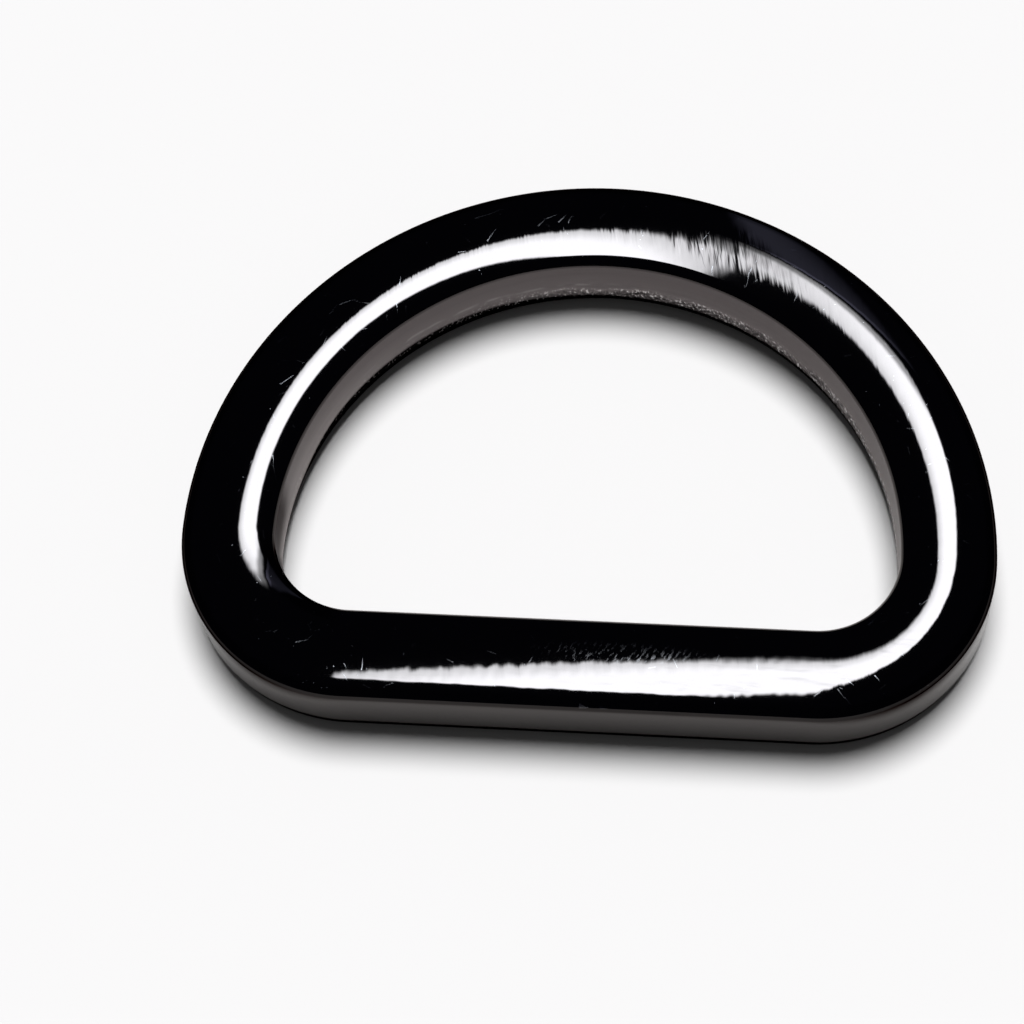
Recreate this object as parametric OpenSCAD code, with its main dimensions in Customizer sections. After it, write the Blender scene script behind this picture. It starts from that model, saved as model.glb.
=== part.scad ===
// D ring, die-cast in one piece: a half-round bow closed by a straight bar.
// It lies on its flat back. +X runs along the bar, +Y towards the crown of the bow and
// +Z up out of the domed face. The origin is under the middle of its outline, on the back.

/* [Strap] */
// Clear width between the sides of the bow, which is the width of the strap
strap_w = 25; // [15:1:50]

/* [Section] */
// Width of the cast section, from its inner wall to its outer wall
section_w = 3.8; // [3:0.1:6]
// Thickness, from the flat back to the middle of the domed face
section_t = 3.9; // [3:0.1:6]
// Rise of the domed face, from the height of its edges to its middle
dome_rise = 0.3; // [0.2:0.05:0.8]
// Radius that rounds the domed face over into the walls
shoulder_r = 0.45; // [0.3:0.05:0.8]
// Radius that rounds the walls into the flat back
back_r = 0.9; // [0.3:0.05:1.3]

/* [Outline] */
// Inside radius of the two corners between the bow and the bar
corner_r = 3.3; // [2:0.1:6]

/* [Hidden] */
$fn = 96;

// Half the section, and the strip of its back that stays flat
half_w = section_w / 2;
flat_x = half_w - back_r;

// The dome is an arc through both top edges and the middle of the face
dome_r = (pow(half_w, 2) + pow(dome_rise, 2)) / (2 * dome_rise);
dome_z = section_t - dome_r;

// Each shoulder is a round that touches the wall and the dome from inside. It is set a
// hair high, so that its outline crosses the dome's cleanly instead of only touching it
hair = 0.0002;
shoulder_x = half_w - shoulder_r;
shoulder_z = dome_z + sqrt(pow(dome_r - shoulder_r, 2) - pow(shoulder_x, 2)) + hair;
meet_x = shoulder_x * dome_r / (dome_r - shoulder_r);

// Radii of the middle of the section, and the half length of the straight bar
bow_r = strap_w / 2 + half_w;
turn_r = corner_r + half_w;
bar_half = bow_r - turn_r;

// The bow and the corners are turned about centres on one line, which is set below the
// origin so that the outline lies evenly before and behind it
centre_y = -bar_half / 2;

// The part of the section that lies under the dome
module domed_middle() {
    intersection() {
        translate([0, dome_z]) circle(r = dome_r);
        translate([-meet_x, back_r]) square([2 * meet_x, section_t - back_r]);
    }
}

// Cross-section of the casting, with its middle at x = 0 and its back at y = 0
module section() {
    domed_middle();
    translate([-half_w, back_r]) square([section_w, shoulder_z - back_r]);
    translate([-flat_x, 0]) square([2 * flat_x, back_r]);
    for (side = [-1, 1]) {
        translate([side * shoulder_x, shoulder_z]) circle(r = shoulder_r);
        translate([side * flat_x, back_r]) circle(r = back_r);
    }
}

// The section turned about +Z, from +X anticlockwise
module turned_section(radius, turn) {
    rotate_extrude(angle = turn) translate([radius, 0]) section();
}

module bow() {
    turned_section(bow_r, 180);
}

module corner() {
    translate([bar_half, 0, 0]) rotate([0, 0, -90]) turned_section(turn_r, 90);
}

module bar() {
    translate([-bar_half, -turn_r, 0])
        rotate([90, 0, 90]) linear_extrude(height = 2 * bar_half) section();
}

module d_ring() {
    color([0.13, 0.125, 0.12]) translate([0, centre_y, 0]) {
        bow();
        corner();
        mirror([1, 0, 0]) corner();
        bar();
    }
}

d_ring();
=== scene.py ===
"""Looks of a die-cast D ring in polished black nickel, lying face up on a pale floor."""

import math

import bpy
from mathutils import Matrix, Vector


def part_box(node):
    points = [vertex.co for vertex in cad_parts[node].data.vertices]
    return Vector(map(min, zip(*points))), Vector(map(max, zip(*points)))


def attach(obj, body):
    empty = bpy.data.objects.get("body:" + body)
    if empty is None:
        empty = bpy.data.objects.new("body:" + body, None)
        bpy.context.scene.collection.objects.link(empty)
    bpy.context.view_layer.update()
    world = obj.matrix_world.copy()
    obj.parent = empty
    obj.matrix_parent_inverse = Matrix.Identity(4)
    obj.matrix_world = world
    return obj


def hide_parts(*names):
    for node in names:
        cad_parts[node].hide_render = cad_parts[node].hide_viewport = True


MM = 0.001

# Sizes of the casting that its box doesn't give
STRAP_WIDTH = 25.0 * MM
DOME_RISE = 0.3 * MM
SHOULDER_RADIUS = 0.45 * MM
BACK_RADIUS = 0.9 * MM

# Spacing of the mesh, along the casting, round its section and round its shoulders
STATION_STEP = 0.125 * MM
SECTION_STEP = 0.105 * MM
ROUND_STEP = 0.06 * MM

# In what follows, a pair of places says where something starts and where it is full. Names that end in
# X and Y are such places along the bar and from the bar to the crown. A pair of shares says how strong
# it is at the two ends, and a cut says at which values of a noise a mask starts and is full.

# Plate: its colour on the face, the outer wall and the satin inner wall, and its roughness in the same
# places.
# The inner wall is paler low down and palest low on the left: painted light against the shaded floor in
# its reflection
FACE_COLOUR = (0.0315, 0.0285, 0.0275, 1)
OUTER_COLOUR = (0.028, 0.0255, 0.025, 1)
INNER_COLOUR = (0.0855, 0.0735, 0.074, 1)
INNER_LOW_PAINTED_LIGHT_COLOUR = (0.166, 0.1465, 0.146, 1)
INNER_LEFT_PAINTED_LIGHT_COLOUR = (0.27, 0.245, 0.241, 1)
PAINTED_LIGHT_LEFT_X = (-7 * MM, -12 * MM)
FACE_ROUGHNESS = 0.03
OUTER_ROUGHNESS = 0.12
INNER_ROUGHNESS = 0.38

# Colour of the painted shade on foot, shoulder, left corner, grain hollows and grooves, which the real
# smears on the bar also take, and the tint at a glancing angle in the painted shade and elsewhere
PAINTED_SHADE_AND_SMEAR_COLOUR = (0.012, 0.011, 0.011, 1)
PAINTED_SHADE_TINT = (0.2, 0.19, 0.19, 1)
EDGE_TINT = (0.85, 0.83, 0.82, 1)

# Handling marks
MARK_COLOUR = (0.12, 0.12, 0.125, 1)
MARK_ROUGHNESS = 0.36

# Zones round the section: how far before its top a wall's finish starts, how far before its end the
# wall's satin starts to stop, and where past its end the back's satin takes over
WALL_BLEND = 0.25 * MM
SATIN_STOP = 0.2 * MM
BACK_PLACES = (0.7 * MM, 1.5 * MM)

# Soft streaks along the satin walls
STREAK_LENGTHS = (9 * MM, 9 * MM, 0.2 * MM)
STREAK_SWING = 0.5

# Painted shade on the foot of both walls, in places past the wall's end, for the floor's contact shadow
# seen in them. It stands higher on the left of the bow's inner wall, where it paints that shadow wider
FOOT_PLACES = (-0.22 * MM, 0.0)
FOOT_LIFT = 0.35 * MM
FOOT_LIFT_X = (0.0, -7 * MM)
FOOT_LIFT_Y = (-2 * MM, 2 * MM)

# Painted shade on the outer shoulder, which darkens the floor's reflection there: the length of its soft
# ends, how far it reaches down the wall and how dark it is, both on the bar and off it
SHOULDER_FADE = 0.2 * MM
SHOULDER_REACH = (0.25 * MM, 1.1 * MM)
SHOULDER_SHARES = (0.3, 0.75)
OFF_BAR_X = (8.5 * MM, 13.5 * MM)
OFF_BAR_Y = (-9.5 * MM, -4 * MM)

# Painted shade on the inner wall beside the left corner, which is full down to a depth below the wall's
# top
BESIDE_CORNER_X = (-7 * MM, -9 * MM)
BESIDE_CORNER_Y = (-2 * MM, -3.6 * MM)
BESIDE_CORNER_DEPTH = 0.8 * MM
BESIDE_CORNER_SHARE = 0.65

# Painted shade on the shoulder inside the left corner, against a reflection there, in distances inwards
# from the middle of the face
IN_CORNER_X = (-9 * MM, -10.5 * MM)
IN_CORNER_Y = (-4.5 * MM, -5.8 * MM)
IN_CORNER_INWARDS = (1.1 * MM, 1.4 * MM)
IN_CORNER_SHARE = 0.88

# Casting grain that the polishing left low on the inner wall and on the back: its size and height, the
# pale colour painted on its tops as painted glints, and its roughness
GRAIN_SIZE = (0.12 * MM, 0.12 * MM, 0.22 * MM)
GRAIN_HEIGHT = 0.09 * MM
GRAIN_GLINT_AND_PARTING_LINE_COLOUR = (0.75, 0.72, 0.71, 1)
GRAIN_ROUGHNESS = 0.14
# Noise values at which the painted glints on the grain's tops start and are full, and at which the painted
# shade in its hollows starts and is full, with how dark that shade is
GLINT_CUT = (0.55, 0.68)
PIT_SHADE_CUT = (0.5, 0.4)
PIT_SHADE_SHARE = 0.6
# Where the grain starts, in places past the wall's end, how unevenly it does, and how it thins leftwards
GRAIN_PLACES = (-0.4 * MM, 0.2 * MM)
GRAIN_WANDER = 1.0 * MM
GRAIN_WANDER_SIZE = 2.5 * MM
GRAIN_THINS_X = (0.5 * MM, -6 * MM)
GRAIN_THINNED = 0.15

# Parting line on the left half of the inner wall: its depth below the wall's top, its width to each side,
# how it wanders, where it breaks off and where its two ends are. Its colour is that of the grain's tops
PARTING_DEPTH = 1.5 * MM
PARTING_WIDTH = 0.15 * MM
PARTING_WANDER = 0.3 * MM
PARTING_WANDER_SIZE = 1.6 * MM
PARTING_BREAK_SIZE = 0.9 * MM
PARTING_BREAK_CUT = (0.38, 0.62)
PARTING_RIGHT_X = (1.5 * MM, -2 * MM)
PARTING_LEFT_X = (-11 * MM, -8 * MM)
PARTING_SHARE = 0.13

# Polishing marks, which all run one way: their direction in degrees, their spacing and lengths, and
# their height
POLISH_TURN = 8.0
POLISH_LENGTHS = (0.23 * MM, 1.6 * MM, 1.6 * MM)
POLISH_HEIGHT = 0.0032 * MM
# Finer marks among them
FINE_TURN = 12.0
FINE_LENGTHS = (0.1 * MM, 0.96 * MM, 1.6 * MM)
FINE_SHARE = 0.4
# Share of their height on the bar and on the bow's crown, and what is added where they are heaviest
POLISH_SHARES = (0.1, 0.3)
CROWN_Y = (2 * MM, 9 * MM)
HEAVY_SHARE = 0.4
HEAVY_PLACE = (4.7 * MM, 8.6 * MM, 3.9 * MM)
HEAVY_REACH = 2.6 * MM
# Patches in which they are deeper
POLISH_PATCH_LENGTHS = (0.9 * MM, 2 * MM, 2 * MM)
POLISH_PATCH_CUT = (0.3, 0.7)
POLISH_PATCH_SHARES = (0.3, 1.7)
# How they fade with the distance from the middle of the face
POLISH_FADE = (0.7 * MM, 1.2 * MM)
POLISH_FADE_SHARES = (1.0, 0.12)

# Low swells that the buffing left in the face: their size and height, and their share on bar and bow
SWELL_SIZE = 0.42 * MM
SWELL_HEIGHT = 0.0018 * MM
SWELL_SHARES = (1.0, 0.35)
BOW_Y = (-9 * MM, -4 * MM)

# The bar's face leans inwards a little. The lean grows over a distance that starts before the bar
LEAN_SLOPE = 0.037
LEAN_START = -4.8 * MM
LEAN_GROWTH = 4.0 * MM

# Handling scratches on the face, each from one place to another, in millimetres
SCRATCH_COLUMNS = ("from_x", "from_y", "to_x", "to_y", "width", "strength")
SCRATCHES = [
    (-5.5, 9.8, -4.4, 10.3, 0.035, 0.6),
    (-2.8, 9.5, -2.5, 9.9, 0.035, 0.45),
    (-2.5, 9.9, -2.1, 10.1, 0.035, 0.52),
    (-2, 9.7, -1.7, 10.1, 0.035, 0.52),
    (-1.6, 9.7, -1.4, 10.1, 0.035, 0.45),
    (-4.9, 8.7, -4.6, 9.3, 0.035, 0.52),
    (-13.2, 3.7, -12.9, 4, 0.042, 0.38),
    (-12.9, 1.7, -12.4, 2.1, 0.035, 0.6),
    (-10.8, 5.5, -10.3, 5.7, 0.035, 0.6),
    (-11.2, 5, -10.9, 5.5, 0.03, 0.4),
    (-8.4, 6.5, -8.4, 6.9, 0.03, 0.45),
    (-8.5, 5.9, -8.4, 5.3, 0.03, 0.45),
    (-12.9, -1.5, -12.8, -2, 0.025, 0.3),
    (-12.8, -2, -12.6, -2.7, 0.022, 0.22),
    (-11.1, -9.6, -10.7, -9.5, 0.035, 0.5),
    (-10.7, -9.5, -10.5, -9.3, 0.025, 0.3),
    (-8.4, -10.6, -8.4, -10.1, 0.028, 0.5),
    (6.1, 7.85, 5.85, 6.95, 0.022, 0.3),
    (4.5, 7.9, 4.5, 7.5, 0.025, 0.4),
    (4.1, 9.15, 4.3, 9.5, 0.025, 0.4),
    (-9.1, -10.4, -9, -10.6, 0.028, 0.4),
    (-12, -9.2, -11.9, -9.1, 0.03, 0.4),
    (-6.1, 8.1, -5.8, 8.2, 0.025, 0.4),
    (-10.3, 5.7, -10.05, 5.6, 0.025, 0.4),
    (9.3, -10.8, 9.6, -10.5, 0.025, 0.22),
    (10.2, -10.5, 10.7, -11.1, 0.03, 0.3),
    (10.5, -10.1, 10.8, -10.3, 0.03, 0.4),
    (0.25, -11.56, 0.6, -11.6, 0.06, 0.9),
    (1.05, -11.6, 1.35, -11.62, 0.035, 0.4),
    (11.3, -7.7, 11.6, -7.4, 0.049, 0.45),
    (11.6, -9.9, 11.8, -10.1, 0.042, 0.45),
]
# Grooves with painted shade, so that they stay dark across the bright reflection, in the same columns
GROOVES_PAINTED_DARK = [
    (3.6, 9.5, 4.2, 7.85, 0.05, 0.75),
    (4.9, 9.1, 5.05, 8, 0.06, 0.6),
    (4.35, 8.8, 4.4, 8.3, 0.03, 0.4),
]
# A scratch is this share of its width where it starts, one less where it ends, and full in this share
# of that. It wavers by a noise of this size and this strength
SCRATCH_START_SHARE = 1.2
SCRATCH_FULL_SHARE = 0.3
WAVER_SIZE = 0.6 * MM
WAVER_SWING = 0.15 * MM
# Scratches run over the shoulders as far as this, past the wall's top
SCRATCH_PLACES = (0.1 * MM, 0.0)

# Hairlines and specks lie one in a cell, and cells whose draw is below seldom stay empty
DRAW_STEP = 0.02
HAIRLINES = {"cell": 0.8 * MM, "length": 0.45 * MM, "width": 0.018 * MM, "seldom": 0.7}
HAIRLINE_SHARE = 0.25
SPECKS = {"cell": 0.3 * MM, "size": 0.03 * MM, "seldom": 0.75}
SPECK_SHARE = 0.5
# Finer dust in patches of the face
DUST = {"cell": 0.2 * MM, "size": 0.026 * MM, "seldom": 0.66}
DUST_SHARE = 0.75
DUST_PATCH_SIZE = 3 * MM
DUST_PATCH_CUT = (0.5, 0.6)

# A patch of short scuffs on the bar: its middle, how many of its reaches make a metre along each axis,
# and where in a reach it starts and is full. Then the scuffs' lengths and direction in degrees
SCUFF_PLACE = (1.6 * MM, -9.35 * MM, 3.9 * MM)
SCUFF_REACH = (1 / (4.2 * MM), 1 / (0.55 * MM), 0.0)
SCUFF_PLACES = (1.0, 0.5)
SCUFF_LENGTHS = (0.11 * MM, 0.35 * MM, 1 * MM)
SCUFF_TURN = -35.0
SCUFF_CUT = (0.52, 0.66)
SCUFF_SHARE = 0.26

# Dull smears along the bar, stronger to the right, in patches
SMEAR_LENGTHS = (1.6 * MM, 0.2 * MM, 1 * MM)
SMEAR_TURN = -2.0
SMEAR_CUT = (0.5, 0.7)
SMEAR_PATCH_LENGTHS = (1.5 * MM, 0.8 * MM, 1 * MM)
SMEAR_PATCH_CUT = (0.42, 0.6)
SMEAR_SHARES = (0.08, 0.26)
SMEAR_RIGHT_X = (0.0, 5 * MM)
SMEAR_Y = (-7 * MM, -8.5 * MM)

# Camera, in degrees and metres
CAMERA_AIM = Vector((-3.156 * MM, -2.759 * MM, 2.0 * MM))
CAMERA_AZIMUTH = 12.315
CAMERA_ELEVATION = 65.603
CAMERA_ROLL = -8.863
CAMERA_DISTANCE = 121.957 * MM
CAMERA_LENS_MM = 105.47
CAMERA_SENSOR_MM = 36
CAMERA_NEAREST = 1 * MM

# Strip light overhead, which the polish shows, in metres and degrees: its height, where its middle lies,
# its size and how it is turned
STRIP_HEIGHT = 0.55
STRIP_MIDDLE = (0.0057, 0.1845)
STRIP_SIZE = (0.22, 0.43)
STRIP_TURN = -24.7
STRIP_POWER = 11.2
STRIP_COLOUR = (0.85, 0.93, 1.0, 1)
# Its four straight edges: how far each lies from the middle, and how far it slants in each metre
STRIP_LEFT = (0.054, 0.135)
STRIP_RIGHT = (0.064, 0.0)
STRIP_NEAR = (0.19, -0.294)
STRIP_FAR = (0.189, 0.015)
# Where its light starts and is full, inwards from three of these edges
STRIP_RIGHT_PLACES = (-0.003, 0.01)
STRIP_NEAR_PLACES = (-0.002, 0.01)
STRIP_FAR_PLACES = (-0.022, 0.008)
# From its left edge the light rises in two ways, a quick one and a slow one. Both rises get longer by a
# share of the way along the strip, from a place on it
QUICK_PLACES = (-0.006, 0.008)
QUICK_GROWTH = 0.25
SLOW_PLACES = (0.0, 0.04)
SLOW_GROWTH = 0.42
GROWTH_START = 0.03
QUICK_SHARE = 0.62
# Its far right corner is cut: where the cut starts along the strip, and how steeply it runs in
CORNER_START = 0.11
CORNER_SLANT = 0.35
# It is dimmer towards its far end
FAR_DIM_PLACES = (0.012, 0.052)
FAR_DIM_SHARES = (0.3, 1.0)

# Key light on the floor, from the strip's side: how it is turned and its spread, in degrees
KEY_TURN = (-15.0, 1.0)
KEY_SPREAD = 28.0
KEY_STRENGTH = 7.1

# Faint band beyond the strip's far end, at the same height
BAND_MIDDLE = (0.157, 0.773)
BAND_SIZE = (0.15, 0.77)
BAND_TURN = -8.5
BAND_POWER = 0.27
BAND_COLOUR = (0.62, 0.68, 1.0, 1)
# Its soft sides, how it fades to the right, and its near edge, which is brighter
BAND_SIDE = 0.033
BAND_RIGHT_PLACES = (0.09, -0.04)
BAND_NEAR_PLACES = (0.026, 0.015)
BAND_NEAR_SHARES = (1.0, 3.0)

# The room as the polish shows it, as matt things are lit by it and as it lies behind the floor
ROOM_DARK = (0.02, 0.0205, 0.038, 1)
ROOM_FILL = (0.1, 0.1, 0.1, 1)
ROOM_PALE = (0.9, 0.9, 0.9, 1)

# Floor
FLOOR_SIZE = 6.0
FLOOR_COLOUR = (0.42, 0.4175, 0.4195, 1)
FLOOR_ROUGHNESS = 0.9


class Recipe:
    """Adds nodes to a tree. Each call returns the output of what it added."""

    def __init__(self, tree):
        self.nodes = tree.nodes
        self.link = tree.links.new

    def feed(self, socket, value):
        """Links what comes from another node, or sets a plain value."""
        if isinstance(value, bpy.types.NodeSocket):
            self.link(value, socket)
        else:
            socket.default_value = value

    def math(self, operation, *values):
        node = self.nodes.new("ShaderNodeMath")
        node.operation = operation
        for socket, value in zip(node.inputs, values):
            self.feed(socket, value)
        return node.outputs[0]

    def product(self, first, *others):
        """All the values multiplied."""
        for value in others:
            first = self.math("MULTIPLY", first, value)
        return first

    def largest(self, first, *others):
        """The largest of the values."""
        for value in others:
            first = self.math("MAXIMUM", first, value)
        return first

    def total(self, first, *others):
        """All the values added up."""
        for value in others:
            first = self.math("ADD", first, value)
        return first

    def vector(self, operation, *values):
        node = self.nodes.new("ShaderNodeVectorMath")
        node.operation = operation
        for socket, value in zip(node.inputs, values):
            self.feed(socket, value)
        gives_number = operation in ("DOT_PRODUCT", "DISTANCE", "LENGTH")
        return node.outputs["Value" if gives_number else "Vector"]

    def scaled(self, vector, factor):
        """A vector times a number."""
        node = self.nodes.new("ShaderNodeVectorMath")
        node.operation = "SCALE"
        self.feed(node.inputs[0], vector)
        self.feed(node.inputs["Scale"], factor)
        return node.outputs["Vector"]

    def split(self, vector):
        node = self.nodes.new("ShaderNodeSeparateXYZ")
        self.link(vector, node.inputs["Vector"])
        return node.outputs["X"], node.outputs["Y"], node.outputs["Z"]

    def rise(self, value, start, full):
        """0 up to the start and 1 from where it is full, with a smooth rise between."""
        node = self.nodes.new("ShaderNodeMapRange")
        node.interpolation_type = "SMOOTHSTEP"
        for name, given in (("Value", value), ("From Min", start), ("From Max", full)):
            self.feed(node.inputs[name], given)
        return node.outputs["Result"]

    def rise_past(self, origin, value, places):
        """A rise whose two places are given as distances past an origin."""
        return self.rise(value, origin + places[0], origin + places[1])

    def blend(self, share, first, second):
        """A number between two."""
        node = self.nodes.new("ShaderNodeMix")
        for name, given in (("Factor", share), ("A", first), ("B", second)):
            self.feed(node.inputs[name], given)
        return node.outputs["Result"]

    def tint(self, share, first, second):
        """A colour between two."""
        node = self.nodes.new("ShaderNodeMix")
        node.data_type = "RGBA"
        self.feed(node.inputs[0], share)
        self.feed(node.inputs[6], first)
        self.feed(node.inputs[7], second)
        return node.outputs[2]

    def stretched(self, place, lengths, turn=0.0):
        """Coordinates turned about Z, in degrees, in which each axis runs over 1 in its length."""
        node = self.nodes.new("ShaderNodeMapping")
        node.vector_type = "TEXTURE"
        self.link(place, node.inputs["Vector"])
        node.inputs["Rotation"].default_value = (0, 0, math.radians(turn))
        node.inputs["Scale"].default_value = lengths
        return node.outputs["Vector"]

    def noise(self, place, lengths, detail=0.0, turn=0.0):
        """Smooth noise about 0.5, whose lumps have the lengths given."""
        node = self.nodes.new("ShaderNodeTexNoise")
        self.link(self.stretched(place, lengths, turn), node.inputs["Vector"])
        node.inputs["Scale"].default_value = 1.0
        node.inputs["Detail"].default_value = detail
        return node.outputs["Fac"]

    def lumps(self, place, size, detail=0.0):
        """Smooth noise about 0.5, whose lumps are as long one way as another."""
        return self.noise(place, (size, size, size), detail)


def arc_points(centre, radius, start, end, step):
    """Points on an arc from start to end, in degrees, without its last point."""
    count = max(2, math.ceil(abs(math.radians(end - start)) * radius / step))
    points = []
    for index in range(count):
        angle = math.radians(start + (end - start) * index / count)
        points.append((centre[0] + radius * math.cos(angle), centre[1] + radius * math.sin(angle)))
    return points


def line_points(start, end, step):
    """Points on a straight line from start to end, without its last point."""
    count = max(1, math.ceil(math.dist(start, end) / step))
    points = []
    for index in range(count):
        share = index / count
        points.append((start[0] + (end[0] - start[0]) * share, start[1] + (end[1] - start[1]) * share))
    return points


def outline_points(size):
    """Middle line of the casting seen from above: a half-round bow, two corners and a bar."""
    width, depth, _ = size
    section_width = (width - STRAP_WIDTH) / 2
    bow_radius = (width - section_width) / 2
    corner_radius = depth - section_width - bow_radius
    half_bar = bow_radius - corner_radius
    centre_y = -half_bar / 2
    bar_y = centre_y - corner_radius
    points = line_points((0, bar_y), (half_bar, bar_y), STATION_STEP)
    points += arc_points((half_bar, centre_y), corner_radius, -90, 0, STATION_STEP)
    points += arc_points((0, centre_y), bow_radius, 0, 180, STATION_STEP)
    points += arc_points((-half_bar, centre_y), corner_radius, 180, 270, STATION_STEP)
    points += line_points((-half_bar, bar_y), (0, bar_y), STATION_STEP)
    return points


class Section:
    """Cross-section of the casting: a flat back, two upright walls, two shoulders and a dome."""

    def __init__(self, size):
        self.thickness = size[2]
        self.half = (size[0] - STRAP_WIDTH) / 4
        self.dome_radius = (self.half ** 2 + DOME_RISE ** 2) / (2 * DOME_RISE)
        self.shoulder_x = self.half - SHOULDER_RADIUS
        # Height of a shoulder's centre over the dome's, and the angle there at which the two meet
        self.shoulder_rise = math.sqrt((self.dome_radius - SHOULDER_RADIUS) ** 2 - self.shoulder_x ** 2)
        self.meet = math.atan2(self.shoulder_rise, self.shoulder_x)

    def points(self):
        """Points from the middle of the flat back out, up, over the dome and down again."""
        half, side = self.half, self.shoulder_x
        dome_z = self.thickness - self.dome_radius
        shoulder_z = dome_z + self.shoulder_rise
        meet = math.degrees(self.meet)
        flat_x = half - BACK_RADIUS
        points = line_points((0, 0), (flat_x, 0), SECTION_STEP)
        points += arc_points((flat_x, BACK_RADIUS), BACK_RADIUS, -90, 0, SECTION_STEP)
        points += line_points((half, BACK_RADIUS), (half, shoulder_z), SECTION_STEP)
        points += arc_points((side, shoulder_z), SHOULDER_RADIUS, 0, meet, ROUND_STEP)
        points += arc_points((0, dome_z), self.dome_radius, meet, 180 - meet, SECTION_STEP)
        points += arc_points((-side, shoulder_z), SHOULDER_RADIUS, 180 - meet, 180, ROUND_STEP)
        points += line_points((-half, shoulder_z), (-half, BACK_RADIUS), SECTION_STEP)
        points += arc_points((-flat_x, BACK_RADIUS), BACK_RADIUS, 180, 270, SECTION_STEP)
        points += line_points((-flat_x, 0), (0, 0), SECTION_STEP)
        return points

    def ends(self):
        """Distances round it, from the middle of the face to the ends of face, shoulder and wall."""
        face_end = self.dome_radius * (math.pi / 2 - self.meet)
        wall_top = face_end + SHOULDER_RADIUS * self.meet
        wall_end = wall_top + self.thickness - self.dome_radius + self.shoulder_rise - BACK_RADIUS
        return face_end, wall_top, wall_end


def loop_curve(name, points):
    """A closed curve of straight steps through points given as x and y."""
    curve = bpy.data.curves.new(name, "CURVE")
    curve.dimensions = "3D"
    spline = curve.splines.new("POLY")
    spline.points.add(len(points) - 1)
    for index, (x, y) in enumerate(points):
        spline.points[index].co = (x, y, 0, 1)
    spline.use_cyclic_u = True
    made = bpy.data.objects.new(name, curve)
    bpy.context.collection.objects.link(made)
    return made


def captured_length(recipe, geometry, name):
    """A curve that keeps the distance along it, that distance, and the curve's whole length."""
    capture = recipe.nodes.new("GeometryNodeCaptureAttribute")
    capture.capture_items.new("FLOAT", name)
    parameter = recipe.nodes.new("GeometryNodeSplineParameter")
    total = recipe.nodes.new("GeometryNodeCurveLength")
    recipe.link(geometry, capture.inputs["Geometry"])
    recipe.link(parameter.outputs["Length"], capture.inputs[name])
    recipe.link(geometry, total.inputs["Curve"])
    return capture.outputs["Geometry"], capture.outputs[name], total.outputs["Length"]


def sweep_tree():
    """Geometry Nodes: a section swept along a closed path, with its unrolled place stored.

    The attribute "stock" holds each point's place on the unrolled casting. Its x and y run
    round a circle as long as the path, so no pattern has a seam, and its z is the distance
    round the section from the middle of the face, more than 0 towards the outer wall.
    """
    tree = bpy.data.node_groups.new("swept casting", "GeometryNodeTree")
    for name in ("Geometry", "Section", "Material"):
        kind = "Object" if name == "Section" else name
        tree.interface.new_socket(name, in_out="INPUT", socket_type="NodeSocket" + kind)
    tree.interface.new_socket("Geometry", in_out="OUTPUT", socket_type="NodeSocketGeometry")
    recipe = Recipe(tree)
    nodes, link = recipe.nodes, recipe.link

    start = nodes.new("NodeGroupInput")
    section = nodes.new("GeometryNodeObjectInfo")
    link(start.outputs["Section"], section.inputs["Object"])
    path, along, path_length = captured_length(recipe, start.outputs["Geometry"], "along")
    profile, across, section_length = captured_length(recipe, section.outputs["Geometry"], "across")
    sweep = nodes.new("GeometryNodeCurveToMesh")
    link(path, sweep.inputs["Curve"])
    link(profile, sweep.inputs["Profile Curve"])

    circle_radius = recipe.math("DIVIDE", path_length, 2 * math.pi)
    turn = recipe.math("DIVIDE", along, circle_radius)
    half_section = recipe.product(section_length, 0.5)
    stock = nodes.new("ShaderNodeCombineXYZ")
    link(recipe.product(recipe.math("COSINE", turn), circle_radius), stock.inputs["X"])
    link(recipe.product(recipe.math("SINE", turn), circle_radius), stock.inputs["Y"])
    link(recipe.math("SUBTRACT", across, half_section), stock.inputs["Z"])
    store = nodes.new("GeometryNodeStoreNamedAttribute")
    store.data_type = "FLOAT_VECTOR"
    store.inputs["Name"].default_value = "stock"
    link(sweep.outputs["Mesh"], store.inputs["Geometry"])
    link(stock.outputs["Vector"], store.inputs["Value"])

    smooth = nodes.new("GeometryNodeSetShadeSmooth")
    realize = nodes.new("GeometryNodeRealizeInstances")
    finish = nodes.new("GeometryNodeSetMaterial")
    end = nodes.new("NodeGroupOutput")
    link(store.outputs["Geometry"], smooth.inputs["Geometry"])
    link(smooth.outputs["Geometry"], realize.inputs["Geometry"])
    link(realize.outputs["Geometry"], finish.inputs["Geometry"])
    link(start.outputs["Material"], finish.inputs["Material"])
    link(finish.outputs["Geometry"], end.inputs["Geometry"])
    return tree


def set_input(modifier, name, value):
    """Sets a tree's input by the identifier of its socket."""
    for item in modifier.node_group.interface.items_tree:
        if item.in_out == "INPUT" and item.name == name:
            modifier[item.identifier] = value


def baked(source, name):
    """The evaluated object as a plain mesh object, with the source taken away."""
    graph = bpy.context.evaluated_depsgraph_get()
    mesh = bpy.data.meshes.new_from_object(source.evaluated_get(graph), depsgraph=graph)
    mesh.name = name
    made = bpy.data.objects.new(name, mesh)
    bpy.context.collection.objects.link(made)
    for modifier in list(source.modifiers):
        source.modifiers.remove(modifier)
    bpy.data.objects.remove(source)
    return made


def cast_ring(size, section, material):
    """The casting as one closed mesh, swept from its section along its outline."""
    path = loop_curve("ring path", outline_points(size))
    # A sweep lays the section's y downwards, so the section is drawn half a turn round
    profile = loop_curve("ring section", [(-x, -y) for x, y in section.points()])
    modifier = path.modifiers.new("swept casting", "NODES")
    modifier.node_group = sweep_tree()
    set_input(modifier, "Section", profile)
    set_input(modifier, "Material", material)
    ring = baked(path, "cast_ring")
    bpy.data.objects.remove(profile)
    return ring


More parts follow.
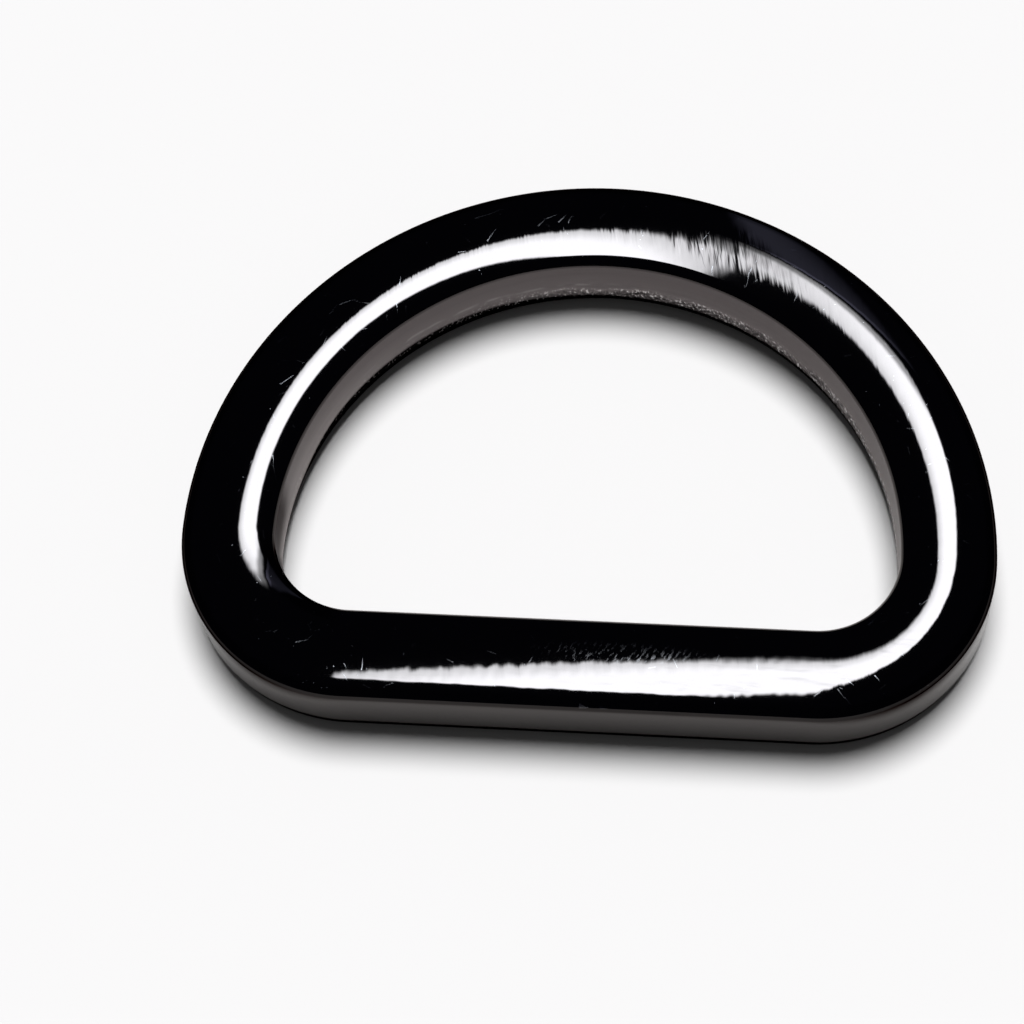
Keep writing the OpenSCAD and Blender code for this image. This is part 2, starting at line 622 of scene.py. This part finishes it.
class Plate:
    """Where a point of the plate lies: its places, and masks from 0 to 1 of the zones it can be in."""

    def __init__(self, recipe, section):
        self.face_end, self.wall_top, self.wall_end = section.ends()
        unrolled = recipe.nodes.new("ShaderNodeAttribute")
        unrolled.attribute_name = "stock"
        self.stock = unrolled.outputs["Vector"]
        self.place = recipe.nodes.new("ShaderNodeTexCoord").outputs["Object"]
        self.x, self.y, _ = recipe.split(self.place)

        # Distances round the section from the middle of the face
        self.outwards = recipe.split(self.stock)[2]
        self.inwards = recipe.product(self.outwards, -1.0)
        self.off_middle = recipe.math("ABSOLUTE", self.outwards)

        wall_start = self.wall_top - WALL_BLEND
        self.on_face = recipe.rise(self.off_middle, self.wall_top, self.face_end)
        self.on_inner = recipe.rise(self.inwards, wall_start, self.wall_top)
        self.on_outer = recipe.rise(self.outwards, wall_start, self.wall_top)
        self.on_back = recipe.rise_past(self.wall_end, self.off_middle, BACK_PLACES)
        above_foot = recipe.rise(self.inwards, self.wall_end, self.wall_end - SATIN_STOP)
        self.satin = recipe.largest(recipe.product(self.on_inner, above_foot), self.on_back)


def painted_shade_foot(recipe, plate):
    """Mask of the painted shade on the foot of both walls, for the floor's contact shadow in their
    reflection.
    """
    lift = recipe.product(
        recipe.rise(plate.x, *FOOT_LIFT_X),
        recipe.rise(plate.y, *FOOT_LIFT_Y),
        plate.on_inner,
        FOOT_LIFT,
    )
    foot = recipe.rise_past(plate.wall_end, recipe.total(plate.off_middle, lift), FOOT_PLACES)
    return recipe.product(foot, recipe.math("SUBTRACT", 1.0, plate.on_back))


def painted_shade_shoulder(recipe, plate):
    """Mask of the painted shade on the outer shoulder, which is darker and reaches further down off the
    bar.
    """
    beside_bar = recipe.rise(recipe.math("ABSOLUTE", plate.x), *OFF_BAR_X)
    behind_bar = recipe.rise(plate.y, *OFF_BAR_Y)
    off_bar = recipe.largest(beside_bar, behind_bar)
    on_bar_end, off_bar_end = [plate.wall_top + reach for reach in SHOULDER_REACH]
    lower_end = recipe.blend(off_bar, on_bar_end, off_bar_end)
    return recipe.product(
        recipe.rise(plate.outwards, lower_end, plate.wall_top - SHOULDER_FADE),
        recipe.rise(plate.outwards, plate.face_end - SHOULDER_FADE, plate.face_end),
        recipe.blend(off_bar, *SHOULDER_SHARES),
    )


def painted_shade_corner(recipe, plate):
    """Mask of the painted shade at the left corner: on the inner wall beside it and on its inner shoulder.
    """
    wall = recipe.product(
        recipe.rise(plate.x, *BESIDE_CORNER_X),
        recipe.rise(plate.y, *BESIDE_CORNER_Y),
        recipe.rise(plate.inwards, plate.wall_end, plate.wall_top + BESIDE_CORNER_DEPTH),
        plate.on_inner,
        BESIDE_CORNER_SHARE,
    )
    shoulder = recipe.product(
        recipe.rise(plate.x, *IN_CORNER_X),
        recipe.rise(plate.y, *IN_CORNER_Y),
        recipe.rise(plate.inwards, *IN_CORNER_INWARDS),
        IN_CORNER_SHARE,
    )
    return recipe.largest(wall, shoulder)


def grain_band(recipe, plate):
    """Mask of the grain low on the inner wall, which starts unevenly and thins out leftwards."""
    wander = recipe.product(recipe.lumps(plate.stock, GRAIN_WANDER_SIZE, detail=1.0), GRAIN_WANDER)
    low_down = recipe.rise_past(plate.wall_end, recipe.total(plate.inwards, wander), GRAIN_PLACES)
    thinned = recipe.blend(recipe.rise(plate.x, *GRAIN_THINS_X), 1.0, GRAIN_THINNED)
    return recipe.product(low_down, plate.on_inner, thinned)


def parting_line(recipe, plate):
    """Mask of the faint, broken parting line on the left half of the inner wall."""
    wander = recipe.product(recipe.lumps(plate.place, PARTING_WANDER_SIZE, detail=2.0), PARTING_WANDER)
    line_place = plate.wall_top + PARTING_DEPTH
    gap = recipe.math("SUBTRACT", recipe.total(plate.inwards, wander), line_place)
    return recipe.product(
        recipe.rise(recipe.math("ABSOLUTE", gap), PARTING_WIDTH, 0.0),
        recipe.rise(recipe.lumps(plate.place, PARTING_BREAK_SIZE, detail=2.0), *PARTING_BREAK_CUT),
        recipe.rise(plate.x, *PARTING_RIGHT_X),
        recipe.rise(plate.x, *PARTING_LEFT_X),
        plate.on_inner,
        PARTING_SHARE,
    )


def scratch_group():
    """Node group: 1 on a straight scratch between two places, 0 off it."""
    tree = bpy.data.node_groups.new("scratch", "ShaderNodeTree")
    for name, kind in (("Place", "Vector"), ("From", "Vector"), ("To", "Vector"), ("Width", "Float")):
        tree.interface.new_socket(name, in_out="INPUT", socket_type="NodeSocket" + kind)
    tree.interface.new_socket("Mark", in_out="OUTPUT", socket_type="NodeSocketFloat")
    recipe = Recipe(tree)
    given = tree.nodes.new("NodeGroupInput").outputs
    run = recipe.vector("SUBTRACT", given["To"], given["From"])
    reach = recipe.vector("SUBTRACT", given["Place"], given["From"])
    run_squared = recipe.vector("DOT_PRODUCT", run, run)
    share = recipe.math("DIVIDE", recipe.vector("DOT_PRODUCT", reach, run), run_squared)
    held = recipe.math("MINIMUM", recipe.largest(share, 0.0), 1.0)
    gap = recipe.vector("LENGTH", recipe.vector("SUBTRACT", reach, recipe.scaled(run, held)))
    width = recipe.product(given["Width"], recipe.math("SUBTRACT", SCRATCH_START_SHARE, held))
    mark = recipe.rise(gap, width, recipe.product(width, SCRATCH_FULL_SHARE))
    recipe.link(mark, tree.nodes.new("NodeGroupOutput").inputs["Mark"])
    return tree


def scratches(recipe, place, group, rows):
    """All scratches of a table in one mask, on a face seen from above."""
    waver = recipe.nodes.new("ShaderNodeTexNoise")
    waver.inputs["Scale"].default_value = 1 / WAVER_SIZE
    waver.inputs["Detail"].default_value = 1.0
    recipe.link(place, waver.inputs["Vector"])
    swing = recipe.vector("SUBTRACT", waver.outputs["Color"], (0.5, 0.5, 0.5))
    shift = recipe.vector("MULTIPLY", swing, (WAVER_SWING, WAVER_SWING, 0.0))
    flat = recipe.vector("MULTIPLY", recipe.vector("ADD", place, shift), (1.0, 1.0, 0.0))
    marks = []
    for row in rows:
        scratch = dict(zip(SCRATCH_COLUMNS, row))
        node = recipe.nodes.new("ShaderNodeGroup")
        node.node_tree = group
        recipe.link(flat, node.inputs["Place"])
        node.inputs["From"].default_value = (scratch["from_x"] * MM, scratch["from_y"] * MM, 0)
        node.inputs["To"].default_value = (scratch["to_x"] * MM, scratch["to_y"] * MM, 0)
        node.inputs["Width"].default_value = scratch["width"] * MM
        marks.append(recipe.product(node.outputs["Mark"], scratch["strength"]))
    return recipe.largest(*marks)


def cells_of(recipe, place, cell, flat=False):
    """A pattern of uneven cells of one size."""
    cells = recipe.nodes.new("ShaderNodeTexVoronoi")
    cells.voronoi_dimensions = "2D" if flat else "3D"
    cells.inputs["Scale"].default_value = 1 / cell
    recipe.link(place, cells.inputs["Vector"])
    return cells


def hairlines(recipe, place, cell, length, width, seldom):
    """Short straight hairlines seen from above, each turned its own way, in a few of the cells."""
    least_length, full_side, full_end = 0.2, 0.3, 0.6
    cells = cells_of(recipe, place, cell, flat=True)
    draw, turn, reach = recipe.split(cells.outputs["Color"])
    across, along, _ = recipe.split(recipe.vector("SUBTRACT", place, cells.outputs["Position"]))
    angle = recipe.product(turn, 2 * math.pi)
    cosine = recipe.math("COSINE", angle)
    sine = recipe.math("SINE", angle)
    run = recipe.total(recipe.product(across, cosine), recipe.product(along, sine))
    gap = recipe.math("SUBTRACT", recipe.product(along, cosine), recipe.product(across, sine))
    half = recipe.product(recipe.total(reach, least_length), length / 2)
    return recipe.product(
        recipe.rise(recipe.math("ABSOLUTE", gap), width, width * full_side),
        recipe.rise(recipe.math("ABSOLUTE", run), half, recipe.product(half, full_end)),
        recipe.rise(draw, seldom, seldom + DRAW_STEP),
    )


def specks(recipe, stock, cell, size, seldom):
    """Round specks, one in a few of the cells, of uneven size."""
    least_size, full_middle = 0.3, 0.4
    cells = cells_of(recipe, stock, cell)
    draw, width, _ = recipe.split(cells.outputs["Color"])
    radius = recipe.product(recipe.total(width, least_size), size / cell)
    spot = recipe.rise(cells.outputs["Distance"], radius, recipe.product(radius, full_middle))
    return recipe.product(spot, recipe.rise(draw, seldom, seldom + DRAW_STEP))


def dusty_specks(recipe, plate):
    """Mask of single specks everywhere and finer dust in patches of the face."""
    single = recipe.product(specks(recipe, plate.stock, **SPECKS), SPECK_SHARE)
    patches = recipe.rise(recipe.lumps(plate.place, DUST_PATCH_SIZE, detail=1.0), *DUST_PATCH_CUT)
    dust = recipe.product(specks(recipe, plate.stock, **DUST), DUST_SHARE, patches, plate.on_face)
    return recipe.largest(single, dust)


def bar_scuffs(recipe, plate):
    """Mask of the patch of short scuffs on the bar."""
    scuffs = recipe.rise(recipe.noise(plate.place, SCUFF_LENGTHS, detail=1.0, turn=SCUFF_TURN), *SCUFF_CUT)
    from_middle = recipe.vector("SUBTRACT", plate.place, SCUFF_PLACE)
    reach = recipe.vector("LENGTH", recipe.vector("MULTIPLY", from_middle, SCUFF_REACH))
    return recipe.product(scuffs, recipe.rise(reach, *SCUFF_PLACES), SCUFF_SHARE)


def pale_marks(recipe, plate, group):
    """Mask of all that handling left pale: scratches, hairlines, specks, dust and scuffs."""
    on_top = recipe.rise_past(plate.wall_top, plate.off_middle, SCRATCH_PLACES)
    scratched = recipe.product(scratches(recipe, plate.place, group, SCRATCHES), on_top)
    hairs = recipe.product(hairlines(recipe, plate.place, **HAIRLINES), plate.on_face, HAIRLINE_SHARE)
    return recipe.largest(scratched, hairs, dusty_specks(recipe, plate), bar_scuffs(recipe, plate))


def groove_shade_and_smears(recipe, plate, group):
    """Mask of the painted shade in the grooves on the crown and of the real smears on the bar, which stay
    dark in the reflection.
    """
    groove_shade = recipe.product(scratches(recipe, plate.place, group, GROOVES_PAINTED_DARK), plate.on_face)
    smears = recipe.product(
        recipe.rise(recipe.noise(plate.place, SMEAR_LENGTHS, detail=3.0, turn=SMEAR_TURN), *SMEAR_CUT),
        recipe.rise(recipe.noise(plate.place, SMEAR_PATCH_LENGTHS, detail=1.0), *SMEAR_PATCH_CUT),
        recipe.blend(recipe.rise(plate.x, *SMEAR_RIGHT_X), *SMEAR_SHARES),
        recipe.rise(plate.y, *SMEAR_Y),
    )
    return recipe.largest(groove_shade, smears)


def clean_colour(recipe, plate):
    """Colour of the plate without its marks: polished face and outer wall, satin inner wall and back, with
    painted light low on the inner wall, most on the left.
    """
    polished = recipe.tint(plate.on_outer, FACE_COLOUR, OUTER_COLOUR)
    # Painted light: the satin wall gets paler low down and palest low on the left, against the floor's
    # shadow in its reflection
    low_down = recipe.rise(plate.inwards, plate.wall_top, plate.wall_end)
    painted_light_colour = recipe.tint(recipe.rise(plate.x, *PAINTED_LIGHT_LEFT_X), INNER_LOW_PAINTED_LIGHT_COLOUR, INNER_LEFT_PAINTED_LIGHT_COLOUR)
    satin = recipe.tint(low_down, INNER_COLOUR, painted_light_colour)
    streaks = recipe.math("SUBTRACT", recipe.noise(plate.stock, STREAK_LENGTHS, detail=2.0), 0.5)
    streak_share = recipe.total(recipe.product(streaks, STREAK_SWING), 1.0)
    return recipe.tint(recipe.product(plate.satin, streak_share), polished, satin)


def polish_height(recipe, plate):
    """Height of the polishing marks, which are deeper in patches and along the middle of the face."""
    marks = recipe.noise(plate.place, POLISH_LENGTHS, detail=1.0, turn=POLISH_TURN)
    fine = recipe.noise(plate.place, FINE_LENGTHS, detail=1.0, turn=FINE_TURN)
    marks = recipe.total(marks, recipe.product(fine, FINE_SHARE))
    patches = recipe.rise(recipe.noise(plate.place, POLISH_PATCH_LENGTHS, detail=1.0), *POLISH_PATCH_CUT)
    from_heavy = recipe.vector("DISTANCE", plate.place, HEAVY_PLACE)
    heavy = recipe.product(recipe.rise(from_heavy, HEAVY_REACH, 0.0), HEAVY_SHARE)
    share = recipe.total(recipe.blend(recipe.rise(plate.y, *CROWN_Y), *POLISH_SHARES), heavy)
    return recipe.product(
        share,
        recipe.blend(patches, *POLISH_PATCH_SHARES),
        recipe.blend(recipe.rise(plate.off_middle, *POLISH_FADE), *POLISH_FADE_SHARES),
        POLISH_HEIGHT,
        marks,
    )


def swell_height(recipe, plate):
    """Height of the low swells, which are lower on the bow."""
    share = recipe.blend(recipe.rise(plate.y, *BOW_Y), *SWELL_SHARES)
    return recipe.product(recipe.lumps(plate.place, SWELL_SIZE), share, SWELL_HEIGHT)


def lean_height(recipe, plate):
    """Height that makes the bar's face lean inwards, by a slope that grows and then stays."""
    beyond = recipe.largest(recipe.math("SUBTRACT", LEAN_START, plate.y), 0.0)
    growing = recipe.math("MINIMUM", beyond, LEAN_GROWTH)
    curve = recipe.product(growing, growing, 0.5 / LEAN_GROWTH)
    rest = recipe.math("SUBTRACT", beyond, growing)
    return recipe.product(recipe.total(curve, rest), LEAN_SLOPE)


def black_nickel(section):
    """Black-nickel plate: bright on the face, less so on the outer wall, satin on inner wall and back."""
    material = bpy.data.materials.new("black nickel plate")
    material.use_nodes = True
    recipe = Recipe(material.node_tree)
    plate = Plate(recipe, section)
    group = scratch_group()
    marked = pale_marks(recipe, plate, group)
    band = grain_band(recipe, plate)
    grain = recipe.noise(plate.stock, GRAIN_SIZE, detail=2.0)
    # Painted glints on the grain's tops and painted shade in its hollows
    grain_glints = recipe.product(recipe.rise(grain, *GLINT_CUT), band, plate.satin)
    pit_shade = recipe.product(recipe.rise(grain, *PIT_SHADE_CUT), band, PIT_SHADE_SHARE)
    # Masks of painted shade on the walls' foot, on the outer shoulder and at the left corner
    foot, shoulder, corner = [zone(recipe, plate) for zone in (painted_shade_foot, painted_shade_shoulder, painted_shade_corner)]
    painted_shade = recipe.largest(foot, shoulder, corner, pit_shade)

    # Each layer lies over those before it: the pale parting line, painted shade, painted glints on the
    # grain's tops, painted shade in the grooves together with the real smears, and the pale handling marks
    colour = clean_colour(recipe, plate)
    for share, layer_colour in (
        (parting_line(recipe, plate), GRAIN_GLINT_AND_PARTING_LINE_COLOUR),
        (painted_shade, PAINTED_SHADE_AND_SMEAR_COLOUR),
        (grain_glints, GRAIN_GLINT_AND_PARTING_LINE_COLOUR),
        (groove_shade_and_smears(recipe, plate, group), PAINTED_SHADE_AND_SMEAR_COLOUR),
        (marked, MARK_COLOUR),
    ):
        colour = recipe.tint(share, colour, layer_colour)

    roughness = recipe.blend(plate.on_outer, FACE_ROUGHNESS, OUTER_ROUGHNESS)
    satin_roughness = recipe.blend(band, INNER_ROUGHNESS, GRAIN_ROUGHNESS)
    roughness = recipe.blend(plate.satin, roughness, satin_roughness)
    roughness = recipe.blend(marked, roughness, MARK_ROUGHNESS)

    # Heights are in metres, as the bump's distance of 1 takes them
    height = recipe.total(
        polish_height(recipe, plate),
        recipe.product(grain, recipe.largest(band, plate.on_back), GRAIN_HEIGHT),
        swell_height(recipe, plate),
        lean_height(recipe, plate),
    )
    bump = recipe.nodes.new("ShaderNodeBump")
    bump.inputs["Distance"].default_value = 1.0
    recipe.link(height, bump.inputs["Height"])

    shader = recipe.nodes["Principled BSDF"]
    shader.inputs["Metallic"].default_value = 1.0
    # The tint at a glancing angle drops in the painted shade
    recipe.link(recipe.tint(painted_shade, EDGE_TINT, PAINTED_SHADE_TINT), shader.inputs["Specular Tint"])
    recipe.link(colour, shader.inputs["Base Color"])
    recipe.link(roughness, shader.inputs["Roughness"])
    recipe.link(bump.outputs["Normal"], shader.inputs["Normal"])
    return material


def floor_finish():
    """Matt pale floor."""
    material = bpy.data.materials.new("pale floor")
    material.use_nodes = True
    shader = material.node_tree.nodes["Principled BSDF"]
    shader.inputs["Base Color"].default_value = FLOOR_COLOUR
    shader.inputs["Roughness"].default_value = FLOOR_ROUGHNESS
    shader.inputs["Specular IOR Level"].default_value = 0.0
    return material


def pale_floor():
    """The plain floor that the ring lies on."""
    half = FLOOR_SIZE / 2
    corners = [(-half, -half, 0), (half, -half, 0), (half, half, 0), (-half, half, 0)]
    mesh = bpy.data.meshes.new("floor")
    mesh.from_pydata(corners, [], [(0, 1, 2, 3)])
    mesh.materials.append(floor_finish())
    floor = bpy.data.objects.new("floor", mesh)
    bpy.context.collection.objects.link(floor)
    return floor


def overhead_light(name, middle, size, turn, power, colour):
    """A flat light facing straight down, with the recipe of its nodes, which shade its strength."""
    light = bpy.data.lights.new(name, "AREA")
    light.shape = "RECTANGLE"
    light.size, light.size_y = size
    light.energy = power
    light.use_nodes = True
    made = bpy.data.objects.new(name, light)
    made.location = (middle[0], middle[1], STRIP_HEIGHT)
    made.rotation_euler = (0, 0, math.radians(turn))
    made.visible_diffuse = False
    bpy.context.collection.objects.link(made)
    recipe = Recipe(light.node_tree)
    recipe.nodes["Emission"].inputs["Color"].default_value = colour
    return made, recipe


def on_the_light(recipe, light_object):
    """Place on a light in metres from its middle, across its width and along its length."""
    local = recipe.nodes.new("ShaderNodeMapping")
    local.vector_type = "TEXTURE"
    local.inputs["Location"].default_value = light_object.location
    local.inputs["Rotation"].default_value = light_object.rotation_euler
    recipe.link(recipe.nodes.new("ShaderNodeNewGeometry").outputs["Position"], local.inputs["Vector"])
    across, along, _ = recipe.split(local.outputs["Vector"])
    return across, along


def inside_edge(recipe, towards, beside, edge):
    """Distance inside a straight edge that lies off the middle and slants with the place beside it."""
    away, slant = edge
    reach = recipe.total(recipe.product(beside, slant), away)
    return recipe.math("SUBTRACT", reach, towards)


def beyond_place(recipe, value, start):
    """How far a value lies past a start, and 0 before it."""
    return recipe.largest(recipe.math("SUBTRACT", value, start), 0.0)


def widening_rise(recipe, inside, beyond, places, growth):
    """A rise inside the strip's left edge, which takes longer the further along the strip it is."""
    start, full = places
    return recipe.rise(inside, start, recipe.total(recipe.product(beyond, growth), full))


def strip_light():
    """The soft strip overhead, whose image is the long bright band on the face."""
    strip, recipe = overhead_light(
        "overhead strip", STRIP_MIDDLE, STRIP_SIZE, STRIP_TURN, STRIP_POWER, STRIP_COLOUR)
    across, along = on_the_light(recipe, strip)
    leftwards = recipe.product(across, -1.0)
    nearwards = recipe.product(along, -1.0)
    left = inside_edge(recipe, leftwards, along, STRIP_LEFT)
    cut = recipe.product(beyond_place(recipe, along, CORNER_START), CORNER_SLANT)
    right = recipe.math("SUBTRACT", inside_edge(recipe, across, along, STRIP_RIGHT), cut)
    near = inside_edge(recipe, nearwards, across, STRIP_NEAR)
    far = inside_edge(recipe, along, across, STRIP_FAR)

    widening = beyond_place(recipe, along, GROWTH_START)
    quick = widening_rise(recipe, left, widening, QUICK_PLACES, QUICK_GROWTH)
    slow = widening_rise(recipe, left, widening, SLOW_PLACES, SLOW_GROWTH)
    strength = recipe.product(
        recipe.blend(QUICK_SHARE, slow, quick),
        recipe.rise(right, *STRIP_RIGHT_PLACES),
        recipe.rise(near, *STRIP_NEAR_PLACES),
        recipe.rise(far, *STRIP_FAR_PLACES),
        recipe.blend(recipe.rise(far, *FAR_DIM_PLACES), *FAR_DIM_SHARES),
    )
    recipe.link(strength, recipe.nodes["Emission"].inputs["Strength"])


def dim_band():
    """A faint cold band in line with the strip, past a narrow gap, with a brighter near edge."""
    band, recipe = overhead_light("dim band", BAND_MIDDLE, BAND_SIZE, BAND_TURN, BAND_POWER, BAND_COLOUR)
    across, along = on_the_light(recipe, band)
    half_width, half_length = BAND_SIZE[0] / 2, BAND_SIZE[1] / 2
    near_edge = recipe.rise_past(-half_length, along, BAND_NEAR_PLACES)
    strength = recipe.product(
        recipe.rise(recipe.math("ABSOLUTE", across), half_width, half_width - BAND_SIDE),
        recipe.rise(across, *BAND_RIGHT_PLACES),
        recipe.blend(near_edge, *BAND_NEAR_SHARES),
    )
    recipe.link(strength, recipe.nodes["Emission"].inputs["Strength"])


def key_light():
    """Even soft light on the floor, which gives the ring its shadow and its walls their tone."""
    light = bpy.data.lights.new("key", "SUN")
    light.energy = KEY_STRENGTH
    light.angle = math.radians(KEY_SPREAD)
    key = bpy.data.objects.new("key", light)
    key.rotation_euler = (math.radians(KEY_TURN[0]), math.radians(KEY_TURN[1]), 0)
    key.visible_glossy = False
    bpy.context.collection.objects.link(key)


def dark_room():
    """Surroundings: pale behind the floor, a soft fill on matt things, and dark in the ring's polish."""
    world = bpy.data.worlds.new("studio")
    world.use_nodes = True
    recipe = Recipe(world.node_tree)
    ray = recipe.nodes.new("ShaderNodeLightPath")
    lit = recipe.tint(ray.outputs["Is Diffuse Ray"], ROOM_DARK, ROOM_FILL)
    seen = recipe.tint(ray.outputs["Is Camera Ray"], lit, ROOM_PALE)
    recipe.link(seen, recipe.nodes["Background"].inputs["Color"])
    bpy.context.scene.world = world


def camera_view():
    """Camera at the photograph's angle."""
    azimuth = math.radians(CAMERA_AZIMUTH)
    elevation = math.radians(CAMERA_ELEVATION)
    back = Vector((
        math.sin(azimuth) * math.cos(elevation),
        -math.cos(azimuth) * math.cos(elevation),
        math.sin(elevation),
    ))
    right = Vector((math.cos(azimuth), math.sin(azimuth), 0))
    right = Matrix.Rotation(math.radians(CAMERA_ROLL), 3, back) @ right
    up = back.cross(right)
    camera = bpy.data.cameras.new("camera")
    camera.lens = CAMERA_LENS_MM
    camera.sensor_width = CAMERA_SENSOR_MM
    camera.clip_start = CAMERA_NEAREST
    made = bpy.data.objects.new("camera", camera)
    rotation = Matrix((right, up, back)).transposed()
    made.matrix_world = Matrix.Translation(CAMERA_AIM + back * CAMERA_DISTANCE) @ rotation.to_4x4()
    bpy.context.collection.objects.link(made)
    bpy.context.scene.camera = made


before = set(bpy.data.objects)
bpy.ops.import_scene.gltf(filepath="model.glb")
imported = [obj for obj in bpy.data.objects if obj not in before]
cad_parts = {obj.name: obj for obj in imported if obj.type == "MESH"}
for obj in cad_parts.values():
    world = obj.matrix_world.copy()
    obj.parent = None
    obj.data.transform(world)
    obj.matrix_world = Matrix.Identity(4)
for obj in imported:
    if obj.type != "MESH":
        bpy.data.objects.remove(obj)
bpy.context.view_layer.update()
low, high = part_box("d_ring")
ring_size = [high[axis] - low[axis] for axis in range(3)]
ring_section = Section(ring_size)

bpy.context.scene.view_settings.view_transform = "Standard"
camera_view()
strip_light()
key_light()
dim_band()
dark_room()

ring = cast_ring(ring_size, ring_section, black_nickel(ring_section))
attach(ring, "root")
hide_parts("d_ring")
pale_floor()
